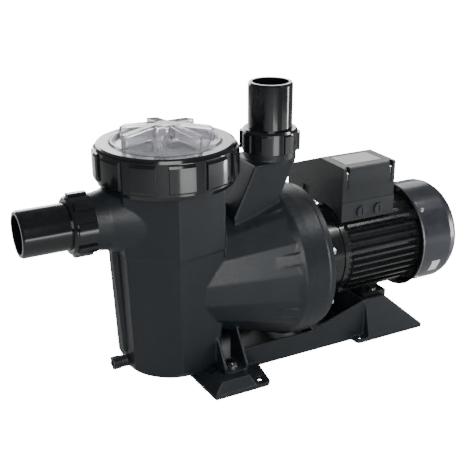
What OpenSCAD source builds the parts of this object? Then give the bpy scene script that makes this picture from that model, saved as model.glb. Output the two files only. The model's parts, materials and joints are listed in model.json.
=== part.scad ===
// Self-priming pool pump: strainer pot, volute casing and close-coupled motor on a moulded base.
// Millimetres, +Z up, +X from the suction union towards the motor fan. The origin is on the
// floor, in the middle of the pump's length and width.

/* [Pipe unions] */
// Radius of the solvent-weld socket in each union tail, for 50 mm pipe
socket_r = 25; // [24.8:0.05:25.2]
// Outer radius of each union tail
tail_r = 30.5; // [30:0.1:31]
// Length of each union tail beyond the stub's sealing face
tail_len = 73.5; // [68:0.5:80]
// Radius over the ribs of each union nut
nut_r = 41.8; // [41:0.1:43]
// Length of each union nut
nut_len = 30; // [28:0.5:32]

/* [Strainer pot] */
// Height of the suction axis above the floor
suction_z = 239.5; // [238:0.5:241]
// Distance from the pot's axis to the suction stub's sealing face
suction_reach = 128.4; // [126:0.2:132]
// Corner radius of the seven-sided pot at its step
pot_r = 83; // [82:0.5:84]
// Corner radius of the pot near its floor
pot_base_r = 76; // [75:0.5:78]
// Height of the pot's underside
pot_floor_z = 18; // [16:0.5:20]
// Height of the faint step in the pot's wall
pot_step_z = 196; // [190:1:200]

/* [Lid and ring] */
// Radius over the ring's grip pads
ring_pad_r = 96; // [95:0.5:97]
// Number of grip pads
pad_count = 12; // [8:1:14]
// Radius of the ring's window
window_r = 72; // [71:0.5:73]
// Number of hollow ribs on the lid
lid_rib_count = 7; // [6:1:8]
// Height of the ribs above the ring's top face
lid_rib_h = 22; // [20:0.5:24]

/* [Casing and motor] */
// Height of the shaft above the floor
shaft_z = 133.3; // [132:0.1:135]
// Outer radius of the volute casing's rim
casing_r = 111; // [109:0.5:112]
// Distance of the discharge axis from the pot's axis
discharge_x = 155; // [153:0.5:157]
// Height of the discharge stub's sealing face
discharge_face_z = 321; // [318:0.5:324]
// Radius over the motor's cooling fins
fin_r = 70.5; // [70:0.5:72]
// Pitch of the cooling fins
fin_pitch = 11; // [10:0.5:12]
// Outer radius of the fan cowl
cowl_r = 78; // [77:0.5:79]

/* [Base] */
// Overall width across the front feet
base_w = 226.6; // [222:0.2:230]
// Thickness of the sole plate
sole_t = 6; // [5:0.5:7]
// Radius of each anchor hole
anchor_r = 5; // [4.5:0.25:5.5]

/* [Hidden] */
$fn = 96;

// Stations along X, measured from the pot's axis
casing_x0 = 12;        // narrow end of the volute casing, inside the pot
rim_x0 = 150;          // where the casing's facets meet its rim
flange_x = 196;        // face of the casing's rim
cover_x = 203;         // motor side of the casing cover
shield_x = 258;        // where the front end shield meets the housing
housing_x = 375;       // rear end of the housing
cowl_x = 446;          // rear face of the fan cowl
seat_gap = 0.3;        // space that each union's seal keeps open
pot_x = (suction_reach + seat_gap + tail_len - cowl_x) / 2;

// Lid stack
neck_r = 86.5;
ring_bottom_z = 282;
neck_top_z = 318;
lid_flange_z = 320;
ring_ceiling_z = 328;
ring_top_z = 334;
rib_angle = -18;       // direction of the first of the lid's ribs
ring_r = 92;
gap = 0.4;             // clearance between bodies that move apart

// Unions
stub_r = 34;
nut_lip = 11;          // how far a nut reaches beyond the sealing face
passage_r = 22;

// Pot cavity
cavity_r = 66;
basket_top_z = 296;

// Casing
facets = 16;
casing_r0 = 69;        // corner radius at the narrow end
neck_tilt = 14.6;      // lean of the discharge passage below its stub
casing_bore_r = 88;
case_bolt_pcr = 98.5;
case_bolt_count = 8;
case_bolt_r = 3;

// Drain plugs: their sealing faces
pot_drain = [79, 27];
volute_drain = [172, 62, 26];

// Motor
shaft_r = 8;
bearing_bore_r = 8.5;
bearing_r = 20;
rotor_r = 32;
stator_r = 58;
cowl_screw_x = 387.5;
housing_r = 62;
foot_x0 = 295;
foot_x1 = 336;
foot_z = 56;

// Terminal box
box_x0 = 250;
box_x1 = 340;
box_y0 = -45;
box_y1 = 17.5;         // rear edge of the flat part of the lid
box_y2 = 104;
box_z0 = 189;
box_lid_z = 252;
box_top_z = 270;
box_rear_z = 236.8;
entry_x = [283.4, 313.6];
entry_z = 201.5;

// Base
foot_x = [13, 100];
spine_y = 59.5;
rear_x = [269, 390];
rear_y = 75.5;
foot_bolt = [60, 71];
front_anchor = [88.5, 98];
rear_anchor = [279.5, 66];

// Colours
plastic = "#2c3034";
gloss = "#1a1c20";
metal = "#3c4148";
stainless = "silver";
rubber = "#151515";

// Moves a sub-part from the pot's axis to the model's frame.
module placed() {
  translate([pot_x, 0, 0]) children();
}

// Draws along +X, with the drawing's own +Z turned to +X.
module along_x(x, z = shaft_z, y = 0) {
  translate([x, y, z]) rotate([0, 90, 0]) children();
}

// A plain ring about +Z.
module ring(r_out, r_in, h) {
  difference() {
    cylinder(r = r_out, h = h);
    translate([0, 0, -1]) cylinder(r = r_in, h = h + 2);
  }
}

// A round-section seal about +Z, centred on z = 0.
module oring(r, section_r) {
  rotate_extrude() translate([r, 0]) circle(r = section_r, $fn = 32);
}

// A hexagon-headed bolt along -Z, with its bearing face on z = 0.
module hex_bolt(r, length, head_r, head_h) {
  translate([0, 0, -length]) cylinder(r = r, h = length, $fn = 32);
  intersection() {
    cylinder(r = head_r, h = head_h, $fn = 6);
    cylinder(r1 = head_r * 1.12, r2 = head_r * 0.9, h = head_h, $fn = 48);
  }
}

// A pan-headed screw with a cross recess, along -Z from z = 0.
module pan_screw(r, length, head_r, head_h) {
  difference() {
    union() {
      translate([0, 0, -length]) cylinder(r = r, h = length, $fn = 24);
      cylinder(r1 = head_r, r2 = head_r * 0.7, h = head_h, $fn = 32);
    }
    for (a = [0, 90]) rotate(a)
      translate([-head_r * 0.5, -head_r * 0.1, head_h * 0.5])
        cube([head_r, head_r * 0.2, head_h]);
  }
}

// A regular outline with a flat facing +Y, for any number of sides.
function regular(n, r) = [for (i = [0:n - 1]) r * [cos(360 * (i + 0.5) / n), sin(360 * (i + 0.5) / n)]];

// A bar shaped by its outline in the XZ plane, centred on y = 0.
module xz_bar(outline, width) {
  rotate([90, 0, 0]) translate([0, 0, -width / 2]) linear_extrude(width) polygon(outline);
}

// A bar shaped by its outline in the YZ plane, from x to x + length.
module yz_bar(outline, x, length) {
  translate([x, 0, 0]) rotate([90, 0, 90]) linear_extrude(length) polygon(outline);
}

// ---------------------------------------------------------------- pump body

module pot_outside() {
  hull() {
    translate([0, 0, pot_floor_z]) cylinder(r = pot_base_r - 10, h = 1, $fn = 48);
    translate([0, 0, pot_floor_z + 11]) cylinder(r = pot_base_r, h = 1, $fn = 7);
    translate([0, 0, pot_step_z - 1]) cylinder(r = pot_r, h = 1, $fn = 7);
  }
  translate([0, 0, pot_step_z - 0.5])
    cylinder(r = pot_r + 1.5, h = ring_bottom_z + 2 - pot_step_z, $fn = 7);
  neck = [[60, neck_top_z], [60, ring_bottom_z + 1], [neck_r, ring_bottom_z + 1]];
  thread = [for (z = [290, 300, 310]) for (p = [[0, 0], [1.2, 1], [1.2, 3], [0, 4]])
    [neck_r + p[0], z + p[1]]];
  rotate_extrude() polygon(concat(neck, thread, [[neck_r, neck_top_z]]));
}

// The thin rib that runs down the pot below the suction stub.
module pot_rib() {
  xz_bar([[-60, 190], [-81, 205], [-81.5, 180], [-77, 110], [-73, 42], [-60, 42]], 6);
}

// The threaded stub, its collar and the boss that flares into the pot below the ring.
module suction_stub() intersection() {
  along_x(-suction_reach, suction_z) rotate_extrude()
    polygon([[0, 0], [stub_r, 0], [stub_r, 18.5], [37, 18.5], [37, 21], [39.5, 37], [56, 77], [0, 77]]);
  translate([-150, -80, 150]) cube([120, 160, ring_bottom_z - 0.6 - 150]);
}

// The casing narrows towards the pot in sixteen flat facets and ends in a round rim.
module casing_outside() {
  translate([0, 0, shaft_z]) hull() {
    translate([casing_x0, 0, 0]) rotate([90, 0, 90]) linear_extrude(1) polygon(regular(facets, casing_r0));
    translate([rim_x0 - 1, 0, 0]) rotate([90, 0, 90])
      linear_extrude(1) polygon(regular(facets, casing_r - 4));
  }
  rim_w = flange_x - rim_x0;
  along_x(rim_x0 - 4) rotate_extrude() polygon([[0, 0], [casing_r - 6, 0], [casing_r - 1, 8],
    [casing_r, 24], [casing_r, rim_w - 1], [casing_r - 4, rim_w + 4], [0, rim_w + 4]]);
}

// Flat bolt bosses that rise out of the casing's facets towards its rim.
module casing_bosses() {
  for (i = [0:case_bolt_count - 1]) translate([0, 0, shaft_z])
    rotate([360 * (i + 0.5) / case_bolt_count, 0, 0])
      xz_bar([[108, 90], [109, 93.4], [152, 108.6], [158, 108.6], [158, 90]], 15);
}

module discharge_neck() {
  xz_bar([[114, 291], [176, 291], [172, 284], [157, 252], [147, 230], [84, 205], [81, 222]], 72);
  translate([discharge_x, 0, 284]) rotate([0, 180 + neck_tilt, 0]) cylinder(r = 25.5, h = 60);
  translate([discharge_x, 0, discharge_face_z]) rotate_extrude()
    polygon([[0, 0], [stub_r, 0], [stub_r, -18.5], [36.5, -18.5], [36.5, -33], [33, -38], [0, -38]]);
}

// Feet that take the hexagon bolts, with a gusset wall on each side of the bolt.
module body_feet() {
  for (s = [-1, 1]) {
    translate([foot_bolt[0] - 20, s > 0 ? 50 : -88, 14]) cube([36, 38, 6]);
    for (x = [foot_bolt[0] - 20, foot_bolt[0] + 12])
      yz_bar([[s * 88, 20], [s * 88, 28], [s * 58, 72], [s * 40, 72], [s * 40, 14], [s * 88, 14]], x, 4);
  }
}

module pump_body() color(plastic) placed() difference() {
  union() {
    pot_outside();
    pot_rib();
    suction_stub();
    casing_outside();
    casing_bosses();
    discharge_neck();
    body_feet();
    along_x(-pot_drain[0], pot_drain[1]) cylinder(r = 8.5, h = 20, $fn = 48);
    translate([volute_drain[0], 10, volute_drain[2]]) rotate([-90, 0, 0])
      cylinder(r = 9, h = volute_drain[1] - 10, $fn = 48);
  }
  // strainer cavity with the ledge for the basket and the lid seal's groove
  translate([0, 0, pot_floor_z + 6]) cylinder(r1 = 61, r2 = cavity_r, h = pot_step_z - pot_floor_z - 6);
  translate([0, 0, pot_step_z - 0.5]) cylinder(r = cavity_r, h = neck_top_z - pot_step_z + 5);
  translate([0, 0, basket_top_z]) cylinder(r = window_r, h = 40);
  translate([0, 0, neck_top_z - 3.1]) ring(81.4, 75.6, 10);
  // suction passage and its seal groove
  along_x(-suction_reach - 1, suction_z) cylinder(r = passage_r, h = suction_reach - 40);
  along_x(-suction_reach - 1, suction_z) ring(31, 26.6, 4);
  // eye between the pot and the volute
  along_x(50) cylinder(r = 26, h = 60);
  along_x(90) cylinder(r1 = 78, r2 = casing_bore_r, h = 20);
  along_x(109.9) cylinder(r = casing_bore_r, h = 100);
  // discharge passage and its seal groove
  translate([discharge_x, 0, 284]) cylinder(r = passage_r, h = 60);
  translate([discharge_x, 0, 290]) rotate([0, 180 + neck_tilt, 0]) cylinder(r = 20, h = 80);
  translate([discharge_x, 0, discharge_face_z - 3]) ring(31, 26.6, 4);
  // bolt holes
  for (i = [0:case_bolt_count - 1]) along_x(160)
    rotate(360 * (i + 0.5) / case_bolt_count) translate([case_bolt_pcr, 0, 0])
      cylinder(r = case_bolt_r + 0.05, h = 40, $fn = 32);
  for (s = [-1, 1]) translate([foot_bolt[0], s * foot_bolt[1], 10]) cylinder(r = 4.4, h = 20, $fn = 32);
  // drain holes
  along_x(-pot_drain[0] - 1, pot_drain[1]) cylinder(r = 5.3, h = 30, $fn = 48);
  translate([volute_drain[0], 47, volute_drain[2]]) rotate([-90, 0, 0])
    cylinder(r = 5.3, h = 20, $fn = 48);
  translate([volute_drain[0], 52, volute_drain[2]]) cylinder(r = 3, h = 44, $fn = 32);
}

// ---------------------------------------------------------------- lid, ring and basket

module lid_ring() color(gloss) placed() difference() {
  union() {
    rotate_extrude() polygon([[60, ring_bottom_z + 20], [88, ring_bottom_z], [90, ring_bottom_z],
      [ring_r, ring_bottom_z + 5], [ring_r, ring_top_z - 5], [ring_r - 1.5, ring_top_z - 1.5],
      [ring_r - 5, ring_top_z], [60, ring_top_z]]);
    intersection() {
      rotate_extrude() polygon([[80, 291], [ring_pad_r - 1, 291], [ring_pad_r, 293],
        [ring_pad_r, 324], [ring_pad_r - 1.5, 327], [ring_r - 2, 328.5], [80, 328.5]]);
      for (i = [0:pad_count - 1]) rotate(-101 + i * 360 / pad_count)
        translate([80, -16.5, 260]) cube([30, 33, 80]);
    }
  }
  translate([0, 0, ring_bottom_z - 1]) cylinder(r = neck_r + 1.6, h = ring_ceiling_z - ring_bottom_z + 1);
  cylinder(r = window_r, h = 400);
  translate([0, 0, ring_top_z - 2]) cylinder(r1 = window_r - 0.2, r2 = window_r + 2.4, h = 2.2);
}

// Outline of the lid's shallow dome, from the centre out.
function dome(z_rim, z_top, r) = [for (i = [0:8]) [r * i / 8, z_rim + (z_top - z_rim) * cos(90 * i / 8)]];

// A straight bar with round ends that lies along +X.
module round_bar(x0, x1, r, h) {
  linear_extrude(h) union() {
    translate([x0, -r]) square([x1 - x0, 2 * r]);
    translate([x0, 0]) circle(r = r, $fn = 32);
    translate([x1, 0]) circle(r = r, $fn = 32);
  }
}

// Envelope of the ribs: a slight fall from the hub, then a steep end inside the rim.
module rib_envelope(inset) {
  rib_top = ring_top_z + lid_rib_h - inset;
  rotate_extrude() polygon([[0, 325], [63 - inset, 325], [63 - inset, rib_top - 10],
    [61 - inset, rib_top - 7], [14, rib_top], [0, rib_top]]);
}

module lid() color("lavender", 0.45) placed() difference() {
  rim_r = window_r - 0.6;
  union() {
    translate([0, 0, lid_flange_z]) cylinder(r = 85, h = 7.6);
    rotate_extrude() polygon(concat([[0, lid_flange_z + 1]], dome(330.5, 340, rim_r - 3.2),
      [[rim_r - 3, 335.4], [rim_r - 2.4, 336], [rim_r - 0.6, 336], [rim_r, 335.4],
       [rim_r, lid_flange_z + 1]]));
    intersection() {
      rib_envelope(0);
      union() {
        for (i = [0:lid_rib_count - 1]) rotate(rib_angle + i * 360 / lid_rib_count)
          translate([0, 0, 327]) round_bar(12, 56, 7.5, 40);
        translate([0, 0, 327.5]) cylinder(r = 16, h = 40);
      }
    }
  }
  rotate_extrude() polygon(concat([[0, lid_flange_z - 1]], dome(327, 336.5, rim_r - 5),
    [[rim_r - 5, lid_flange_z - 1]]));
  intersection() {
    rib_envelope(2.5);
    for (i = [0:lid_rib_count - 1]) rotate(rib_angle + i * 360 / lid_rib_count)
      translate([0, 0, 326]) round_bar(24, 54.5, 5, 40);
  }
}

module lid_oring() color(rubber) placed() translate([0, 0, lid_flange_z - 2.4]) oring(78.5, 2.4);

module strainer_basket() color("#8f9498") placed() difference() {
  union() {
    translate([0, 0, 40]) cylinder(r1 = 55, r2 = 59, h = basket_top_z - 40);
    translate([0, 0, basket_top_z + 0.2]) cylinder(r = window_r - 0.8, h = 3);
    translate([0, 0, basket_top_z - 1]) cylinder(r = 60, h = 2);
  }
  translate([0, 0, 43]) cylinder(r1 = 52.5, r2 = 56.5, h = 270);
  along_x(-80, suction_z) cylinder(r = 27, h = 80);
  for (z = [58, 100, 142]) for (i = [0:9]) rotate(i * 18)
    translate([-70, -2.5, z]) cube([140, 5, 32]);
  for (x = [-40:16:40]) translate([x - 2.5, -36, 30]) cube([5, 72, 20]);
}

module basket_handle() color("#8f9498") placed() {
  z0 = basket_top_z + 3.2;
  yz_bar([[-66, z0], [-66, z0 + 3], [-38, z0 + 20], [38, z0 + 20], [66, z0 + 3], [66, z0],
    [60, z0], [60, z0 + 1], [36, z0 + 16], [-36, z0 + 16], [-60, z0 + 1], [-60, z0]], -5, 10);
}

// ---------------------------------------------------------------- unions

// Union nut about +Z: the sealing face is z = 0 and the nut's lip is at z = nut_lip.
module union_nut() {
  z0 = nut_lip - nut_len;
  wall_r = nut_r - 3.2;
  rotate_extrude() polygon([[37.5, z0], [wall_r, z0], [wall_r, nut_lip - 3], [wall_r - 2.6, nut_lip],
    [tail_r + gap, nut_lip], [tail_r + gap, 6.6], [stub_r + gap, 6.6], [stub_r + gap, z0 + 2.4],
    [37.5, z0 + 2.4]]);
  for (i = [0:7]) rotate(i * 45 + 10) intersection() {
    translate([nut_r - 6, -7, z0 + 1]) cube([10, 14, nut_len - 6]);
    cylinder(r = nut_r, h = 100, center = true);
  }
}

// Union tail about +Z: its sealing face is z = 0 and its pipe socket opens at z = tail_len.
module union_tail() rotate_extrude()
  polygon([[passage_r, 0], [stub_r - 0.3, 0], [stub_r - 0.3, 6], [tail_r, 6], [tail_r, tail_len - 3],
    [tail_r - 1.5, tail_len], [socket_r, tail_len], [socket_r, tail_len - 38], [passage_r, tail_len - 38]]);

module at_suction() {
  placed() translate([-suction_reach, 0, suction_z]) rotate([0, -90, 0]) children();
}

module at_discharge() {
  placed() translate([discharge_x, 0, discharge_face_z]) children();
}

module suction_nut() color(gloss) at_suction() union_nut();
module discharge_nut() color(gloss) at_discharge() union_nut();
module suction_tail() color(gloss) at_suction() translate([0, 0, seat_gap]) union_tail();
module discharge_tail() color(gloss) at_discharge() translate([0, 0, seat_gap]) union_tail();
module suction_oring() color(rubber) at_suction() translate([0, 0, -1.5]) oring(28.8, 1.5);
module discharge_oring() color(rubber) at_discharge() translate([0, 0, -1.5]) oring(28.8, 1.5);

// ---------------------------------------------------------------- drain plugs

// Star-headed drain plug about +Z: its sealing face is z = 0, the head stands above it.
module drain_plug() {
  translate([0, 0, -12]) cylinder(r = 5, h = 12.1, $fn = 48);
  translate([0, 0, 1.6]) difference() {
    union() {
      cylinder(r = 7.5, h = 9, $fn = 48);
      for (i = [0:5]) rotate(i * 60) translate([7.5, 0, 0]) cylinder(r = 2.7, h = 9, $fn = 24);
    }
    translate([0, 0, 6.5]) cylinder(r = 4, h = 4, $fn = 32);
  }
  cylinder(r = 6, h = 1.7, $fn = 48);
}

module drain_seal() translate([0, 0, 0]) ring(8.6, 6.05, 1.5);

module at_pot_drain() {
  placed() translate([-pot_drain[0], 0, pot_drain[1]]) rotate([0, -90, 0]) children();
}

module at_volute_drain() {
  placed() translate(volute_drain) rotate([-90, 0, 0]) children();
}

module pot_drain_plug() color(plastic) at_pot_drain() drain_plug();
module pot_drain_seal() color(rubber) at_pot_drain() drain_seal();
module volute_drain_plug() color(plastic) at_volute_drain() drain_plug();
module volute_drain_seal() color(rubber) at_volute_drain() drain_seal();

// ---------------------------------------------------------------- wet end

module diffuser() color("#3a3d40") placed() {
  along_x(74) ring(25.6, passage_r, 32);
  along_x(104) ring(78, passage_r, 2.5);
  along_x(104) difference() {
    cylinder(r = 33, h = 10);
    translate([0, 0, 2.4]) cylinder(r = 30, h = 10);
    translate([0, 0, -1]) cylinder(r = passage_r, h = 10);
  }
  along_x(104) ring(70, 67, 48);
  for (i = [0:6]) along_x(106) rotate(i * 360 / 7) translate([69, -1.25, 0]) cube([14, 2.5, 44]);
}

module impeller() color("#4a4d50") placed() difference() {
  union() {
    along_x(108) cylinder(r = 29.5, h = 10);
    along_x(117) cylinder(r1 = 34, r2 = 62, h = 6);
    along_x(139) cylinder(r = 62, h = 4);
    along_x(130) cylinder(r = 16, h = 32);
    for (i = [0:5]) along_x(121) rotate(i * 60) translate([20, -16, 0])
      rotate(28) cube([46, 3, 19]);
  }
  along_x(107) cylinder(r = passage_r, h = 16);
  along_x(119) cylinder(r1 = passage_r, r2 = 60, h = 4.1);
  along_x(130) cylinder(r = shaft_r + 0.02, h = 40);
  along_x(100) ring(80, 62, 60);
}

module impeller_screw() color(stainless) placed()
  along_x(129.4) rotate([180, 0, 0]) translate([0, 0, 0]) hex_bolt(3.5, 12, 6.5, 4);

module casing_cover() color(plastic) placed() difference() {
  union() {
    along_x(flange_x - 10) rotate_extrude() polygon([[0, 0], [27, 0], [27, 4], [casing_bore_r - 0.4, 4],
      [casing_bore_r - 0.4, 10], [casing_r - 5, 10], [casing_r - 5, 17], [0, 17]]);
  }
  along_x(flange_x - 20) cylinder(r = 20, h = 20.2);
  along_x(flange_x - 1) cylinder(r = 12, h = 20);
  along_x(flange_x - 4.4) ring(casing_bore_r + 1, casing_bore_r - 3.9, 4);
  for (i = [0:case_bolt_count - 1]) along_x(flange_x - 1)
    rotate(360 * (i + 0.5) / case_bolt_count) translate([case_bolt_pcr, 0, 0])
      cylinder(r = case_bolt_r + 0.3, h = 20, $fn = 32);
  for (i = [0:3]) along_x(flange_x - 1) rotate(45 + i * 90) translate([57, 0, 0])
    cylinder(r = 3.3, h = 20, $fn = 32);
}

module casing_gasket() color(rubber) placed() along_x(flange_x - 2.4) oring(casing_bore_r - 2, 1.85);

module casing_bolts() color(stainless) placed()
  for (i = [0:case_bolt_count - 1]) along_x(cover_x + 0.05)
    rotate(360 * (i + 0.5) / case_bolt_count) translate([case_bolt_pcr, 0, 0])
      hex_bolt(case_bolt_r, 38, 6, 4.5);

module seal_seat() color("white") placed() along_x(flange_x - 6) ring(19.9, 9.5, 6);

module seal_rotary() color("#555555") placed() {
  along_x(183.4) ring(15, shaft_r + 0.05, 6.4);
}

// A coil of round wire, swept along its own turns.
function coil(r, wire, pitch, turns, sides, steps) = [
  for (i = [0:turns * steps]) for (k = [0:sides - 1])
    let (a = 360 * i / steps, b = 360 * k / sides, q = r + wire * cos(b))
    [q * cos(a), q * sin(a), pitch * a / 360 + wire * sin(b)]];

module seal_spring() color(stainless) placed() along_x(165.2) {
  sides = 8;
  steps = 20;
  turns = 3;
  last = turns * steps;
  polyhedron(
    coil(12, 1.1, 5, turns, sides, steps),
    concat(
      [[for (k = [0:sides - 1]) k]],
      [for (i = [0:last - 1]) for (k = [0:sides - 1])
        [i * sides + k, (i + 1) * sides + k, (i + 1) * sides + (k + 1) % sides]],
      [for (i = [0:last - 1]) for (k = [0:sides - 1])
        [i * sides + k, (i + 1) * sides + (k + 1) % sides, i * sides + (k + 1) % sides]],
      [[for (k = [sides - 1:-1:0]) last * sides + k]]));
}

module water_slinger() color(rubber) placed() along_x(208) {
  ring(14, shaft_r + 0.05, 6);
  ring(22, shaft_r + 0.05, 1.5);
}

// ---------------------------------------------------------------- motor

module motor_shaft() color(stainless) placed() difference() {
  union() {
    along_x(134) cylinder(r = shaft_r, h = 290);
    along_x(236) cylinder(r = bearing_bore_r, h = 164);
    along_x(250) cylinder(r = 11, h = 136);
  }
  along_x(133) cylinder(r = 3.6, h = 16, $fn = 32);
}

module rotor_core() color("#8c8f92") placed() along_x(278) {
  ring(rotor_r, 11.05, 74);
  translate([0, 0, -5]) ring(rotor_r - 2, 22, 5);
  translate([0, 0, 74]) ring(rotor_r - 2, 22, 5);
}

module bearing_outer(x) {
  along_x(x) ring(bearing_r, 16.5, 12);
  along_x(x) ring(17, 12.6, 1);
  along_x(x + 11) ring(17, 12.6, 1);
}

module front_bearing_outer() color(stainless) placed() bearing_outer(237);
module rear_bearing_outer() color(stainless) placed() bearing_outer(387);
module front_bearing_inner() color("#b8bcc0") placed() along_x(237) ring(12, bearing_bore_r + 0.02, 12);
module rear_bearing_inner() color("#b8bcc0") placed() along_x(387) ring(12, bearing_bore_r + 0.02, 12);

module stator_core() color("#6f7478") placed() along_x(275) difference() {
  cylinder(r = stator_r, h = 80);
  translate([0, 0, -1]) cylinder(r = rotor_r + 0.6, h = 82);
  for (i = [0:23]) rotate(i * 15) translate([rotor_r + 3, -1.8, -1]) cube([12, 3.6, 82]);
}

module stator_winding() color("#b5651d") placed() {
  for (x = [262, 355.1]) along_x(x) rotate_extrude()
    polygon([[37, 0], [49, 0], [52, 3], [52, 10], [49, 12.9], [37, 12.9], [34.5, 10], [34.5, 3]]);
}

module front_end_shield() color("#474d50") placed() difference() {
  union() {
    along_x(cover_x) rotate_extrude() polygon([[0, 0], [66, 0], [66, 6], [64.5, 6], [64.5, 42],
      [62.8, 42.4], [62.8, 44.6], [64.5, 45], [64.5, 55], [0, 55]]);
  }
  along_x(cover_x - 1) cylinder(r = 53, h = 28);
  along_x(cover_x) cylinder(r = 14, h = 60);
  along_x(237) cylinder(r = bearing_r + 0.02, h = 30);
  along_x(250) cylinder(r = 54, h = 20);
  for (s = [-1, 1]) translate([212, s * 22 - 9, 40]) cube([14, 18, 50]);
  for (i = [0:3]) along_x(cover_x - 1) rotate(45 + i * 90) translate([57, 0, 0])
    cylinder(r = 3.05, h = 40, $fn = 32);
}

// Level cooling fins on both flanks and upright fins under the barrel.
module fins() intersection() {
  along_x(shield_x) cylinder(r = fin_r, h = housing_x - shield_x);
  union() {
    for (i = [-5:4]) translate([shield_x - 1, -80, shaft_z + 6 + i * fin_pitch - 1.4])
      cube([housing_x - shield_x + 2, 160, 2.8]);
    for (y = [-33:fin_pitch:33]) translate([shield_x - 1, y - 1.4, shaft_z - 80])
      cube([housing_x - shield_x + 2, 2.8, 80]);
    translate([shield_x - 1, -30, shaft_z]) cube([housing_x - shield_x + 2, 60, 64]);
  }
}

module motor_housing() color(metal) placed() difference() {
  union() {
    fins();
    along_x(shield_x) cylinder(r = housing_r, h = housing_x - shield_x);
    translate([foot_x0, -48, foot_z]) cube([foot_x1 - foot_x0, 96, 10]);
    translate([foot_x0 + 6, -35, foot_z]) cube([foot_x1 - foot_x0 - 12, 70, 30]);
    for (i = [0:3]) along_x(housing_x - 10) rotate(45 + i * 90) translate([62.5, 0, 0])
      cylinder(r = 6.5, h = 9.5, $fn = 32);
  }
  along_x(shield_x - 1) cylinder(r = stator_r + 0.05, h = 130);
  for (i = [0:3]) along_x(housing_x - 12) rotate(45 + i * 90) translate([64.5, 0, 0])
    cylinder(r = 2.05, h = 20, $fn = 32);
  for (s = [-1, 1]) translate([(foot_x0 + foot_x1) / 2, s * 42, foot_z - 1])
    cylinder(r = 3.4, h = 20, $fn = 32);
}

module rear_end_shield() color(metal) placed() difference() {
  union() {
    along_x(housing_x) rotate_extrude() polygon([[0, 0], [64, 0], [64, 8], [50, 8], [30, 25], [0, 25]]);
    for (i = [0:3]) along_x(housing_x) rotate(45 + i * 90) translate([67, 0, 0])
      cylinder(r = 8.4, h = 17, $fn = 32);
  }
  for (i = [0:3]) along_x(cowl_screw_x) rotate(45 + i * 90) translate([69, 0, 0])
    rotate([0, 90, 0]) cylinder(r = 2.15, h = 20, $fn = 24);
  along_x(housing_x - 1) cylinder(r = 40, h = 9);
  along_x(387) cylinder(r = bearing_r + 0.02, h = 12.02);
  along_x(380) cylinder(r = bearing_r - 2, h = 8);
  along_x(390) cylinder(r = 10, h = 30);
  for (i = [0:3]) along_x(housing_x - 1) rotate(45 + i * 90) translate([64.5, 0, 0])
    cylinder(r = 2.2, h = 20, $fn = 32);
}

module tie_bolts() color(stainless) placed()
  for (i = [0:3]) along_x(housing_x + 17.05) rotate(45 + i * 90) translate([64.5, 0, 0])
    hex_bolt(2, 28, 4, 3);

module motor_foot_bolts() color(stainless) placed()
  for (s = [-1, 1]) translate([(foot_x0 + foot_x1) / 2, s * 42, foot_z + 10.05]) hex_bolt(3, 24, 5.2, 4);

module cooling_fan() color("#2a2a2c") placed() difference() {
  union() {
    along_x(405) cylinder(r = 15, h = 17);
    along_x(405) ring(62, 14, 2.5);
    for (i = [0:6]) along_x(407) rotate(i * 360 / 7) translate([14, -1.2, 0]) cube([47, 2.4, 20]);
  }
  along_x(400) cylinder(r = shaft_r + 0.02, h = 40);
}

module fan_cowl() color("#474c55") placed() difference() {
  // one turned shell, from its front lip to its rear face
  along_x(376) rotate_extrude() polygon([[cowl_r + 3, 0], [cowl_r + 1.4, 4], [cowl_r, 4.6], [cowl_r, 54],
    [cowl_r - 2.4, 62], [cowl_r - 8, 70], [0, 70], [0, 67.8], [cowl_r - 9.6, 67.8], [cowl_r - 4.6, 61],
    [cowl_r - 2.2, 53], [cowl_r - 2.2, 4.6], [cowl_r + 0.6, 0]]);
  for (r = [18:9:60]) along_x(cowl_x - 6) difference() {
    ring(r + 5, r, 20);
    for (a = [0, 60, 120]) rotate(a) translate([-80, -3, -1]) cube([160, 6, 30]);
  }
  for (a = [45:90:315]) along_x(cowl_screw_x) rotate(a) translate([cowl_r - 8, 0, 0])
    rotate([0, 90, 0]) cylinder(r = 2.2, h = 20, $fn = 24);
}

module cowl_screws() color(stainless) placed()
  for (a = [45:90:315]) along_x(cowl_screw_x) rotate(a) translate([cowl_r + 0.05, 0, 0])
    rotate([0, 90, 0]) pan_screw(2.1, 8, 4, 2.2);

module cowl_label() color("white") placed() intersection() {
  along_x(401) ring(cowl_r + 0.35, cowl_r + 0.02, 15);
  translate([390, -90, 89]) cube([40, 60, 20]);
}

// ---------------------------------------------------------------- terminal box

box_side = [[box_y0, box_z0], [box_y0, box_lid_z], [box_y1, box_lid_z], [box_y2, box_rear_z - 16],
  [box_y2, box_z0 + 12], [box_y2 - 12, box_z0]];
lid_side = [[box_y0, box_lid_z + 0.05], [box_y0, box_top_z - 1.5], [box_y0 + 1.5, box_top_z],
  [box_y1, box_top_z], [box_y2, box_rear_z], [box_y2, box_rear_z - 15.95], [box_y1, box_lid_z + 0.05]];

// Each lid screw: its X, its Y, the side its notch opens to, and the lid's lower face there.
lid_screws = [for (x = [box_x0 + 7.5, box_x1 - 7.5]) for (side = [-1, 1])
  [x, side < 0 ? box_y0 + 2.4 : box_y2 - 2.4, side, side < 0 ? box_lid_z : box_rear_z - 16]];

// Notches that hold the lid screws, between two heights above the lid's lower face.
module screw_notches(z0, z1) {
  for (s = lid_screws) translate([s[0] - 2.8, s[1] - 3.5 + 0.7 * s[2], s[3] + z0]) cube([5.6, 7, z1 - z0]);
}

// Shallow upright grooves in the front face, below the lid screws' notches.
module screw_grooves() {
  for (x = [box_x0 + 7.5, box_x1 - 7.5]) translate([x - 2, box_y0 - 1, box_lid_z - 14]) cube([4, 1.7, 24]);
}

module screw_holes(r, z0, z1) {
  for (s = lid_screws) translate([s[0], s[1], s[3] + z0]) cylinder(r = r, h = z1 - z0, $fn = 24);
}

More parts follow.
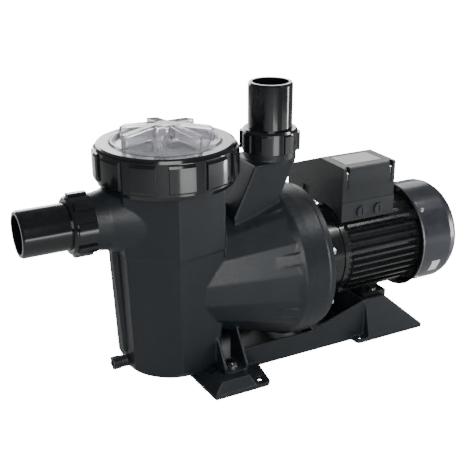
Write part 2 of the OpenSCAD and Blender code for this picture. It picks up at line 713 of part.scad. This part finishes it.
module terminal_box() color(metal) placed() difference() {
  union() {
    yz_bar(box_side, box_x0, box_x1 - box_x0);
    translate([box_x0 - 0.8, box_y0 - 0.8, box_z0]) cube([box_x1 - box_x0 + 1.6, 10, 29]);
  }
  along_x(box_x0 - 5) cylinder(r = fin_r + 0.05, h = box_x1 - box_x0 + 10);
  difference() {
    yz_bar([[box_y0 + 4, 207], [box_y0 + 4, 300], [box_y1 - 2, 300], [box_y1 - 2, 207]], box_x0 + 4, 82);
    for (s = lid_screws) translate([s[0] - 6, s[1] - 6, 200]) cube([12, 12, 60]);
  }
  difference() {
    yz_bar([[box_y1 + 2, 207], [box_y1 + 2, 300], [box_y2 - 4, 300], [box_y2 - 4, 207]], box_x0 + 4, 82);
    for (s = lid_screws) translate([s[0] - 6, s[1] - 6, 200]) cube([12, 12, 60]);
  }
  screw_holes(1.6, -24, 4);
  screw_grooves();
  translate([box_x0 - 1, 43, 198]) cube([3, 17, 20]);
  for (x = entry_x) translate([x, box_y0 + 6, entry_z]) rotate([90, 0, 0])
    cylinder(r = 5.55, h = 10, $fn = 48);
  translate([box_x0 + 22, box_y0 + 4, 199.5]) cube([52, 6, 10]);
}

module terminal_box_lid() color(metal) placed() difference() {
  yz_bar(lid_side, box_x0, box_x1 - box_x0);
  difference() {
    yz_bar([[box_y0 + 4, box_lid_z - 1], [box_y0 + 4, box_top_z - 4], [box_y1 - 1, box_top_z - 4],
      [box_y2 - 4, box_rear_z - 4.5], [box_y2 - 4, box_rear_z - 20], [box_y1, box_lid_z - 1]],
      box_x0 + 4, box_x1 - box_x0 - 8);
    for (s = lid_screws) translate([s[0] - 6, s[1] - 6, s[3] - 6]) cube([12, 12, 24]);
  }
  screw_notches(9, 22);
  screw_holes(1.8, -1, 10);
  screw_grooves();
  translate([box_x0 + 13, box_y0 + 15, box_top_z - 0.4]) cube([62, 38, 2]);
}

module terminal_lid_screws() color(stainless) placed()
  for (s = lid_screws) translate([s[0], s[1], s[3] + 9.05]) pan_screw(1.3, 30, 2.4, 2.4);

module rating_plate() color("#dfe2e4") placed()
  translate([box_x0 + 13.1, box_y0 + 15.1, box_top_z - 0.38]) cube([61.8, 37.8, 0.8]);

module entry_plugs() color(plastic) placed()
  for (x = entry_x) translate([x, box_y0 - 0.85, entry_z]) rotate([90, 0, 0]) {
    difference() {
      cylinder(r = 8, h = 2.5, $fn = 48);
      translate([-1, -5, 1.5]) cube([2, 10, 2]);
    }
    translate([0, 0, -5]) cylinder(r = 5.5, h = 5.1, $fn = 48);
  }

module terminal_block() color("#2b2b2b") placed() translate([268, -30, 207.1]) {
  difference() {
    cube([54, 26, 14]);
    for (i = [0:4]) translate([4 + i * 10, -1, 8]) cube([7, 28, 7]);
  }
  for (i = [0:4]) for (y = [7, 19]) translate([7.5 + i * 10, y, 8]) cylinder(r = 2.2, h = 3, $fn = 24);
}

module capacitor() color("#d8d8d4") placed() {
  along_x(258, 222, 52) cylinder(r = 14, h = 70);
  along_x(255.5, 222, 52) cylinder(r = 11, h = 3);
}

// ---------------------------------------------------------------- base

// Points of an arc in the plane.
function arc(x, y, r, a0, a1) =
  [for (i = [0:6]) let (a = a0 + (a1 - a0) * i / 6) [x + r * cos(a), y + r * sin(a)]];

// One half of the sole's outline, and the whole.
sole_half = concat([[9, -42], [foot_x[0], -base_w / 2]], arc(foot_x[1] - 9, 9 - base_w / 2, 9, -90, -8),
  [[107, -spine_y], [rear_x[0], -spine_y]], arc(rear_x[0] + 8, 8 - rear_y, 8, 180, 270),
  [[rear_x[1], -rear_y]]);
base_outline = concat(sole_half,
  [for (i = [len(sole_half) - 1:-1:0]) [sole_half[i][0], -sole_half[i][1]]]);

// Trapezoid blocks that carry the body's feet.
module front_blocks() {
  for (s = [-1, 1]) intersection() {
    xz_bar([[foot_x[0], 0], [77, 0], [77, 6], [69.5, 20], [27, 20], [foot_x[0], 6]], 300);
    yz_bar([[s * 113.3, 0], [s * 113.3, 3], [s * 104, 20], [s * 56, 20], [s * 50, 14], [s * 50, 0]], 0, 120);
  }
}

// Side walls of the cradle, rising towards the motor.
module side_walls() {
  for (s = [-1, 1]) translate([0, s * (spine_y - 2), 0])
    xz_bar([[60, 0], [rear_x[0] + 2, 0], [300, 8], [300, 62], [286, 62], [200, 34], [60, 34]], 4);
}

// Block under the motor's foot, with sloping faces.
module rear_block() {
  intersection() {
    xz_bar([[290, 0], [rear_x[1], 0], [rear_x[1], 6], [326, 63], [290, 63]], 300);
    yz_bar([[-rear_y, 0], [rear_y, 0], [rear_y, 4], [60, 63], [-60, 63], [-rear_y, 4]], 280, 120);
  }
}

module base() color(plastic) placed() difference() {
  union() {
    linear_extrude(sole_t) polygon(base_outline);
    front_blocks();
    side_walls();
    rear_block();
    translate([210, -56, 0]) cube([4, 112, 24]);
  }
  for (s = [-1, 1]) {
    // pockets for the body's feet, and their bolt holes
    translate([foot_bolt[0] - 20.5, s > 0 ? 40 : -88.5, 14]) cube([37, 48.5, 40]);
    translate([foot_bolt[0], s * foot_bolt[1], -1]) cylinder(r = 4.05, h = 30, $fn = 32);
    translate([front_anchor[0], s * front_anchor[1], -1]) cylinder(r = anchor_r, h = 40, $fn = 48);
    translate([rear_anchor[0], s * rear_anchor[1], -1]) cylinder(r = anchor_r, h = 40, $fn = 48);
    // motor foot bolts
    translate([(foot_x0 + foot_x1) / 2, s * 42, 30]) cylinder(r = 3.05, h = 40, $fn = 32);
  }
  // recess for the motor's foot
  translate([foot_x0 - 0.5, -48.5, foot_z]) cube([foot_x1 - foot_x0 + 1, 97, 40]);
  translate([280, -54, foot_z + 4]) cube([60, 108, 40]);
  // hollow under the rear block
  translate([296, -50, -1]) cube([24, 100, 48]);
  // clearances for the pot and for the volute's drain boss
  translate([0, 0, 14]) cylinder(r = pot_base_r + 4, h = 60);
  translate([volute_drain[0] - 11, 46, volute_drain[2] - 12]) cube([22, 20, 30]);
}

module foot_bolts() color(stainless) placed()
  for (s = [-1, 1]) translate([foot_bolt[0], s * foot_bolt[1], 21.7]) hex_bolt(4, 18, 7.5, 5.5);

module foot_washers() color(stainless) placed()
  for (s = [-1, 1]) translate([foot_bolt[0], s * foot_bolt[1], 20.02]) ring(9, 4.3, 1.6);

pump_body();
base();
foot_bolts();
foot_washers();
lid_ring();
lid();
lid_oring();
strainer_basket();
basket_handle();
suction_nut();
suction_tail();
suction_oring();
discharge_nut();
discharge_tail();
discharge_oring();
pot_drain_plug();
pot_drain_seal();
volute_drain_plug();
volute_drain_seal();
diffuser();
impeller();
impeller_screw();
casing_cover();
casing_gasket();
casing_bolts();
seal_seat();
seal_rotary();
seal_spring();
water_slinger();
motor_shaft();
rotor_core();
front_bearing_outer();
front_bearing_inner();
rear_bearing_outer();
rear_bearing_inner();
stator_core();
stator_winding();
front_end_shield();
motor_housing();
rear_end_shield();
tie_bolts();
motor_foot_bolts();
cooling_fan();
fan_cowl();
cowl_screws();
cowl_label();
terminal_box();
terminal_box_lid();
terminal_lid_screws();
rating_plate();
entry_plugs();
terminal_block();
capacitor();
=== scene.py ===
import json

import bpy
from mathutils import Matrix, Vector


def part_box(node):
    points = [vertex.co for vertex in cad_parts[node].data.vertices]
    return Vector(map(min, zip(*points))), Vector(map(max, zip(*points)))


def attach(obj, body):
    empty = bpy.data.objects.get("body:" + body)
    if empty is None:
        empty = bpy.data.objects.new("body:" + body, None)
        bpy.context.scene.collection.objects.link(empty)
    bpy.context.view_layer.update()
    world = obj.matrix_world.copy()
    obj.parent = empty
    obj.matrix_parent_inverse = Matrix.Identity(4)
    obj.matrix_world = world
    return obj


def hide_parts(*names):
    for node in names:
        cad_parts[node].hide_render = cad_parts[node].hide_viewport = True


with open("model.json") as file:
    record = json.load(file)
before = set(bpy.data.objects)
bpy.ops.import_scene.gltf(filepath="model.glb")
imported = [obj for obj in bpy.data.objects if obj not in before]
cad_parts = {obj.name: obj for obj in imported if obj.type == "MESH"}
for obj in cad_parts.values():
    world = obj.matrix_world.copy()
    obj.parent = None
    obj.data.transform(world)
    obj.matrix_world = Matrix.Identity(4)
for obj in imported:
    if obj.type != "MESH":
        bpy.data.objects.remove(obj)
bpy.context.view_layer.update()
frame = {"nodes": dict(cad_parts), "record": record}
MM = 0.001


# ---------------------------------------------------------------- places taken from the frame

def centre(node):
    """Middle of a CAD node's box."""
    low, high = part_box(node)
    return (low + high) / 2


POT = centre("lid_ring")    # the strainer pot's axis


# ---------------------------------------------------------------- materials

class Look:
    """A node material built round one Principled shader."""

    def __init__(self, name, color, rough, metallic=0.0):
        self.mat = bpy.data.materials.new(name)
        self.mat.use_nodes = True
        self.nodes = self.mat.node_tree.nodes
        self.links = self.mat.node_tree.links
        self.shader = self.nodes["Principled BSDF"]
        self.color = color
        self.set("Base Color", (*color, 1.0))
        self.set("Roughness", rough)
        self.set("Metallic", metallic)
        self.place = self.nodes.new("ShaderNodeTexCoord").outputs["Object"]
        self.height = None

    def set(self, socket, value):
        self.shader.inputs[socket].default_value = value
        return self

    def noise(self, size_mm, detail=3.0, stretch=(1, 1, 1), rough=0.55):
        """Noise whose features are about size_mm across; stretch lengthens them along an axis."""
        spread = self.nodes.new("ShaderNodeMapping")
        spread.inputs["Scale"].default_value = [1 / s for s in stretch]
        self.links.new(self.place, spread.inputs["Vector"])
        tex = self.nodes.new("ShaderNodeTexNoise")
        tex.inputs["Scale"].default_value = 1 / (size_mm * MM)
        tex.inputs["Detail"].default_value = detail
        tex.inputs["Roughness"].default_value = rough
        self.links.new(spread.outputs["Vector"], tex.inputs["Vector"])
        return tex.outputs["Fac"]

    def ramp(self, source, low, high, out_low, out_high):
        """Maps a value from [low, high] to [out_low, out_high], held at the ends."""
        node = self.nodes.new("ShaderNodeMapRange")
        node.inputs["From Min"].default_value = low
        node.inputs["From Max"].default_value = high
        node.inputs["To Min"].default_value = out_low
        node.inputs["To Max"].default_value = out_high
        self.links.new(source, node.inputs["Value"])
        return node.outputs["Result"]

    def combine(self, a, b, how="MULTIPLY"):
        node = self.nodes.new("ShaderNodeMath")
        node.operation = how
        for socket, value in zip(node.inputs, (a, b)):
            if isinstance(value, (int, float)):
                socket.default_value = value
            else:
                self.links.new(value, socket)
        return node.outputs["Value"]

    def tint(self, factor, color):
        """Blends the base colour towards another where factor is high."""
        mix = self.nodes.new("ShaderNodeMix")
        mix.data_type = "RGBA"
        base = self.shader.inputs["Base Color"]
        if base.is_linked:
            self.links.new(base.links[0].from_socket, mix.inputs["A"])
        else:
            mix.inputs["A"].default_value = base.default_value
        mix.inputs["B"].default_value = (*color, 1.0)
        self.links.new(factor, mix.inputs["Factor"])
        self.links.new(mix.outputs["Result"], base)
        return self

    def roughness(self, source, low, high):
        self.links.new(self.ramp(source, 0.3, 0.7, low, high), self.shader.inputs["Roughness"])
        return self

    def bump(self, source, depth_mm):
        """Adds relief of about depth_mm to what is there already."""
        scaled = self.combine(source, depth_mm)
        self.height = scaled if self.height is None else self.combine(self.height, scaled, "ADD")
        return self

    def edges(self, low=0.52, high=0.62):
        """High on outer edges, from the mesh's own curvature."""
        geometry = self.nodes.new("ShaderNodeNewGeometry")
        return self.ramp(geometry.outputs["Pointiness"], low, high, 0.0, 1.0)

    def upward(self):
        """High on faces that look up, where dust settles."""
        geometry = self.nodes.new("ShaderNodeNewGeometry")
        split = self.nodes.new("ShaderNodeSeparateXYZ")
        self.links.new(geometry.outputs["Normal"], split.inputs[0])
        return self.ramp(split.outputs["Z"], 0.6, 1.0, 0.0, 1.0)

    def done(self):
        if self.height is not None:
            node = self.nodes.new("ShaderNodeBump")
            node.inputs["Distance"].default_value = MM
            node.inputs["Strength"].default_value = 1.0
            self.links.new(self.height, node.inputs["Height"])
            self.links.new(node.outputs["Normal"], self.shader.inputs["Normal"])
        return self.mat


def moulded(name, color, rough, grain_mm=0.9, grain_depth=0.02, edge_wear_and_highlight=0.25, dust=0.10):
    """Moulded plastic: fine grain, slow flow marks, faint scuffs, paler edges that are partly rubbed
    wear and partly a painted highlight, and a trace of dust.
    """
    look = Look(name, color, rough)
    flow = look.noise(45, 2, (1, 1, 2.5))
    look.tint(look.ramp(flow, 0.35, 0.7, 0, 0.35), tuple(c * 1.25 + 0.004 for c in color))
    scuff = look.noise(9, 6, (1, 1, 0.25), 0.7)
    look.tint(look.ramp(scuff, 0.62, 0.8, 0, 0.25), tuple(c * 1.6 + 0.012 for c in color))
    # Paler outer edges: partly rubbed wear, partly a painted highlight along the edges.
    look.tint(look.combine(look.edges(), edge_wear_and_highlight), tuple(c * 2.2 + 0.03 for c in color))
    look.tint(look.combine(look.upward(), look.ramp(look.noise(14, 5), 0.35, 0.7, 0, dust)),
              (0.35, 0.35, 0.34))
    look.roughness(look.noise(3.0, 5), rough - 0.06, rough + 0.08)
    look.bump(look.noise(grain_mm, 2), grain_depth)
    look.bump(look.noise(30, 2), 0.05)
    return look.done()


def polished(name, color, rough):
    """Glossy moulded plastic with hairline scratches and slight waviness."""
    look = Look(name, color, rough)
    look.set("Coat Weight", 0.35).set("Coat Roughness", 0.06)
    flow = look.noise(30, 2)
    look.tint(look.ramp(flow, 0.35, 0.7, 0, 0.3), tuple(c * 1.3 + 0.003 for c in color))
    # Paler outer edges: partly rubbed wear, partly a painted highlight along the edges.
    look.tint(look.combine(look.edges(), 0.22), tuple(c * 2.0 + 0.02 for c in color))
    look.tint(look.combine(look.upward(), look.ramp(look.noise(10, 5), 0.4, 0.7, 0, 0.05)),
              (0.4, 0.4, 0.4))
    hair = look.noise(1.6, 3, (1, 1, 0.05), 0.6)
    look.roughness(hair, rough - 0.03, rough + 0.09)
    look.bump(look.noise(22, 1), 0.10)
    look.bump(hair, 0.003)
    return look.done()


def painted(name, color, rough, cast_mm=2.2, cast_depth=0.04):
    """Satin paint over a casting: orange peel, cast grain, and paler edges that are partly rubbed
    paint and partly a painted highlight.
    """
    look = Look(name, color, rough)
    look.set("Coat Weight", 0.4).set("Coat Roughness", 0.12)
    look.tint(look.ramp(look.noise(26, 4), 0.35, 0.7, 0, 0.35), tuple(c * 1.35 for c in color))
    # Paler outer edges: partly rubbed paint, partly a painted highlight along the edges.
    look.tint(look.combine(look.edges(), 0.30), tuple(c * 2.4 + 0.04 for c in color))
    look.tint(look.combine(look.upward(), look.ramp(look.noise(14, 2), 0.4, 0.7, 0, 0.04)),
              (0.36, 0.35, 0.33))
    look.roughness(look.noise(11, 1), rough - 0.05, rough + 0.07)
    look.bump(look.noise(cast_mm, 0), cast_depth)
    return look.done()


def turned(name, color, rough, along=(1, 1, 1)):
    """Bare metal with fine machining lines and slight staining."""
    look = Look(name, color, rough, 1.0)
    look.tint(look.ramp(look.noise(6, 5), 0.5, 0.75, 0, 0.5), tuple(c * 0.72 for c in color))
    lines = look.noise(0.5, 2, along)
    look.roughness(lines, rough - 0.07, rough + 0.10)
    look.bump(lines, 0.006)
    return look.done()


def rubbery(name, color):
    look = Look(name, color, 0.62)
    look.tint(look.ramp(look.noise(5, 4), 0.45, 0.7, 0, 0.5), tuple(c * 1.9 + 0.01 for c in color))
    look.roughness(look.noise(2, 4), 0.52, 0.72)
    look.bump(look.noise(0.8, 3), 0.03)
    return look.done()


def clear(name):
    """Clear moulded polycarbonate with a faint cool tint, slight waves and hairline scuffs."""
    look = Look(name, (0.93, 0.93, 0.965), 0.04)
    look.set("Transmission Weight", 0.82).set("IOR", 1.5).set("Specular IOR Level", 0.6)
    look.tint(look.ramp(look.noise(24, 3), 0.4, 0.7, 0, 0.35), (0.86, 0.87, 0.93))
    look.roughness(look.noise(6, 5), 0.03, 0.10)
    look.bump(look.noise(16, 2), 0.12)
    return look.done()


def laminated(name):
    """A stack of thin steel stampings across the shaft."""
    look = Look(name, (0.36, 0.37, 0.39), 0.42, 1.0)
    sheets = look.noise(0.6, 1, (1, 60, 60))
    look.tint(look.ramp(sheets, 0.4, 0.6, 0, 0.8), (0.16, 0.16, 0.17))
    look.tint(look.ramp(look.noise(8, 4), 0.5, 0.8, 0, 0.4), (0.25, 0.17, 0.12))
    look.roughness(sheets, 0.32, 0.6)
    look.bump(sheets, 0.08)
    return look.done()


def wound(name):
    """Varnished copper turns, with painted shade in the grooves between them."""
    look = Look(name, (0.62, 0.25, 0.08), 0.3, 0.85)
    wires = look.noise(1.0, 1, (1, 14, 14))
    # Darker in the low grooves between turns: painted shade in the hollows of the bump.
    look.tint(look.ramp(wires, 0.35, 0.6, 0.8, 0), (0.17, 0.06, 0.02))
    look.roughness(look.noise(2, 3), 0.22, 0.45)
    look.bump(wires, 0.35)
    return look.done()


def printed_blank(name, color, rough):
    """A blank label or plate: slight mottling and fine grain, no lettering."""
    look = Look(name, color, rough)
    look.tint(look.ramp(look.noise(7, 5), 0.45, 0.75, 0, 0.35), tuple(c * 0.86 for c in color))
    look.roughness(look.noise(3, 4), rough - 0.06, rough + 0.1)
    look.bump(look.noise(1.2, 3), 0.012)
    return look.done()


LOOKS = {
    "satin_black_plastic": moulded("satin black plastic", (0.0095, 0.0140, 0.0185), 0.40, dust=0.06),
    "gloss_black_plastic": polished("gloss black plastic", (0.0035, 0.0050, 0.0065), 0.13),
    "clear_plastic": clear("clear polycarbonate"),
    "basket_plastic": moulded("pale basket plastic", (0.42, 0.43, 0.50), 0.45, dust=0.0, edge_wear_and_highlight=0.1),
    "inner_plastic": moulded("inner plastic", (0.04, 0.04, 0.045), 0.45),
    "seal_rubber": rubbery("seal rubber", (0.012, 0.012, 0.012)),
    "stainless": turned("stainless steel", (0.76, 0.76, 0.75), 0.22),
    "bearing_steel": turned("bearing steel", (0.74, 0.75, 0.77), 0.14, (60, 1, 1)),
    "lamination_steel": laminated("steel laminations"),
    "copper_winding": wound("copper winding"),
    "ceramic": printed_blank("lapped ceramic", (0.86, 0.86, 0.83), 0.18),
    "carbon": moulded("carbon face", (0.04, 0.04, 0.042), 0.35),
    "motor_paint": painted("motor paint", (0.0040, 0.0058, 0.0068), 0.26, 7.0, 0.02),
    "cowl_paint": painted("cowl paint", (0.0125, 0.0165, 0.0250), 0.40, 5.0, 0.012),
    "terminal_box_plastic": moulded("terminal box plastic", (0.0070, 0.0105, 0.0125), 0.40, 1.1, 0.03),
    "plate_metal": printed_blank("blank plate", (0.60, 0.61, 0.63), 0.35),
    "label_white": printed_blank("blank label", (0.80, 0.80, 0.80), 0.5),
    "capacitor_case": moulded("capacitor case", (0.60, 0.60, 0.58), 0.35, dust=0.0),
}


def wear_looks():
    """Gives each carried-over CAD node the material of its slot."""
    for part in frame["record"]["subparts"]:
        node = frame["nodes"][part["node"]]
        node.data.materials.clear()
        node.data.materials.append(LOOKS[part["material_slot"]])


wear_looks()


# ---------------------------------------------------------------- moulded edges

SUBPARTS = {part["node"]: part for part in frame["record"]["subparts"]}
BODIES = frame["record"]["behaviour"]["bodies"]
BODY_OF = {node: body for body, nodes in BODIES.items() for node in nodes}


def softened(node, voxel_mm, passes):
    """Stands in for a moulding: the same shape with its edges and inside corners rounded off."""
    source = frame["nodes"][node]
    piece = bpy.data.objects.new(node + "_moulding", source.data.copy())
    bpy.context.scene.collection.objects.link(piece)
    remesh = piece.modifiers.new("remesh", "REMESH")
    remesh.mode = "VOXEL"
    remesh.voxel_size = voxel_mm * MM
    smooth = piece.modifiers.new("smooth", "SMOOTH")
    smooth.factor = 0.5
    smooth.iterations = passes
    bpy.context.view_layer.update()
    evaluated = piece.evaluated_get(bpy.context.evaluated_depsgraph_get())
    shaped = bpy.data.meshes.new_from_object(evaluated)
    piece.modifiers.clear()
    piece.data = shaped
    shaped.shade_smooth()
    part = SUBPARTS[node]
    shaped.materials.clear()
    shaped.materials.append(LOOKS[part["material_slot"]])
    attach(piece, BODY_OF[node])
    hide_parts(node)


softened("pump_body", voxel_mm=1.3, passes=5)
softened("base", voxel_mm=1.2, passes=5)

# Painted shade: a dark sheet at the bottom of the terminal box's slot stands in for its shadow.
SLOT_SHADE_SIZE_MM = (0.8, 16.4, 19.4)
SLOT_SHADE_DEPTH_MM = 3.15         # its middle, behind the terminal box's leftmost face
SLOT_SHADE_Y = 0.0515              # middle of the slot, from the pump's middle plane
SLOT_SHADE_Z = 0.208               # middle of the slot, above the floor
SLOT_SHADE_BEVEL_MM = 0.3


def painted_slot_shade():
    """A dark sheet in the seal rubber material at the bottom of the slot in the terminal box's left
    wall: painted shade for the slot's dark depth.
    """
    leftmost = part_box("terminal_box")[0].x
    place = (leftmost + SLOT_SHADE_DEPTH_MM * MM, POT.y + SLOT_SHADE_Y, SLOT_SHADE_Z)
    bpy.ops.mesh.primitive_cube_add(size=1, location=place)
    shade_sheet = bpy.context.object
    shade_sheet.name = "painted_slot_shade"
    shade_sheet.scale = Vector(SLOT_SHADE_SIZE_MM) * MM
    bpy.ops.object.transform_apply(location=False, scale=True)
    bevel = shade_sheet.modifiers.new("bevel", "BEVEL")
    bevel.width = SLOT_SHADE_BEVEL_MM * MM
    bevel.segments = 2
    shade_sheet.data.materials.append(LOOKS["seal_rubber"])
    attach(shade_sheet, "pump")


painted_slot_shade()


# ---------------------------------------------------------------- floor, lights, camera

FLOOR_SIZE = 16
FLOOR_DROP = 0.0004         # keeps the floor just below the base's sole
FLOOR_GLOW = 16.0           # seen directly
SKY_SEEN = 18.0             # seen directly
SKY_LIGHT = 0.16            # lighting the object
SEEN_THROUGH = 0.05         # share of the direct strength that shows through clear plastic

# Each area light: its name, place, aim, width and height in metres, and power in watts.
LIGHTS = [
    ("front softbox", (-0.55, -1.45, 0.85), (-0.05, 0, 0.2), (0.9, 0.9), 15),
    ("low middle panel", (-0.02, -0.85, 0.07), (-0.2, 0, 0.26), (0.34, 0.12), 0.6),
    ("low right panel", (0.70, -0.60, 0.07), (-0.1, 0, 0.28), (0.5, 0.14), 0.25),
    ("right strip", (0.85, -0.27, 0.17), (-0.1, 0, 0.3), (0.09, 0.32), 1.9),
    ("top strip", (0.62, -0.36, 0.95), (0.2, 0, 0.2), (0.60, 0.06), 2.6),
    ("back panel", (0.75, 1.05, 0.75), (0.05, 0, 0.25), (1.0, 0.5), 5),
    ("rear fill", (-0.10, 1.50, 0.60), (0, 0, 0.2), (0.9, 0.8), 12),
]

# Where the photograph was taken from and aimed at, from the floor below the pot's axis.
CAMERA_PLACE = Vector((-0.4178, -0.9883, 0.6376))
CAMERA_AIM = Vector((0.1011, 0, 0.1821))
CAMERA_LENS_MM = 65.6
CAMERA_SENSOR_MM = 36


def facing(place, aim):
    """Rotation that turns a light or a camera at place towards aim."""
    return (Vector(aim) - Vector(place)).to_track_quat("-Z", "Y").to_euler()


def seen_directly(nodes, links, direct, indirect):
    """Strength direct for what the camera sees, a share of it through clear plastic, else indirect."""
    path = nodes.new("ShaderNodeLightPath")
    directness = nodes.new("ShaderNodeMath")
    directness.operation = "MULTIPLY_ADD"
    links.new(path.outputs["Is Transmission Ray"], directness.inputs[0])
    directness.inputs[1].default_value = SEEN_THROUGH
    links.new(path.outputs["Is Camera Ray"], directness.inputs[2])
    strength = nodes.new("ShaderNodeMapRange")
    strength.inputs["To Min"].default_value = indirect
    strength.inputs["To Max"].default_value = direct
    links.new(directness.outputs["Value"], strength.inputs["Value"])
    return strength.outputs["Result"]


def floor():
    """A plain pale floor that the camera sees as white."""
    bpy.ops.mesh.primitive_plane_add(size=FLOOR_SIZE, location=(0, 0, -FLOOR_DROP))
    plane = bpy.context.object
    plane.name = "floor"
    look = Look("pale floor", (0.80, 0.80, 0.80), 0.6)
    look.tint(look.ramp(look.noise(400, 2), 0.3, 0.7, 0, 0.3), (0.78, 0.78, 0.785))
    look.set("Emission Color", (1, 1, 1, 1))
    glow = seen_directly(look.nodes, look.links, FLOOR_GLOW, 0.0)
    look.links.new(glow, look.shader.inputs["Emission Strength"])
    plane.data.materials.append(look.done())


def soft_light(name, place, aim, size, power):
    lamp = bpy.data.lights.new(name, "AREA")
    lamp.shape = "RECTANGLE"
    lamp.size, lamp.size_y = size
    lamp.energy = power
    holder = bpy.data.objects.new(name, lamp)
    holder.location = place
    holder.rotation_euler = facing(place, aim)
    holder.visible_camera = False
    bpy.context.scene.collection.objects.link(holder)


def studio():
    """A dim white room, seen as plain white, with soft lights all round."""
    world = bpy.data.worlds.new("studio")
    bpy.context.scene.world = world
    world.use_nodes = True
    nodes, links = world.node_tree.nodes, world.node_tree.links
    backdrop = nodes["Background"]
    backdrop.inputs["Color"].default_value = (1, 1, 1, 1)
    links.new(seen_directly(nodes, links, SKY_SEEN, SKY_LIGHT), backdrop.inputs["Strength"])
    for light in LIGHTS:
        soft_light(*light)


def photo_camera():
    """Stands where the photograph was taken from, measured from the pot's axis."""
    lens = bpy.data.cameras.new("camera")
    lens.sensor_width = CAMERA_SENSOR_MM
    lens.lens = CAMERA_LENS_MM
    holder = bpy.data.objects.new("camera", lens)
    floor_below_pot = Vector((POT.x, POT.y, 0))
    holder.location = floor_below_pot + CAMERA_PLACE
    holder.rotation_euler = facing(holder.location, floor_below_pot + CAMERA_AIM)
    bpy.context.scene.collection.objects.link(holder)
    bpy.context.scene.camera = holder


floor()
studio()
photo_camera()
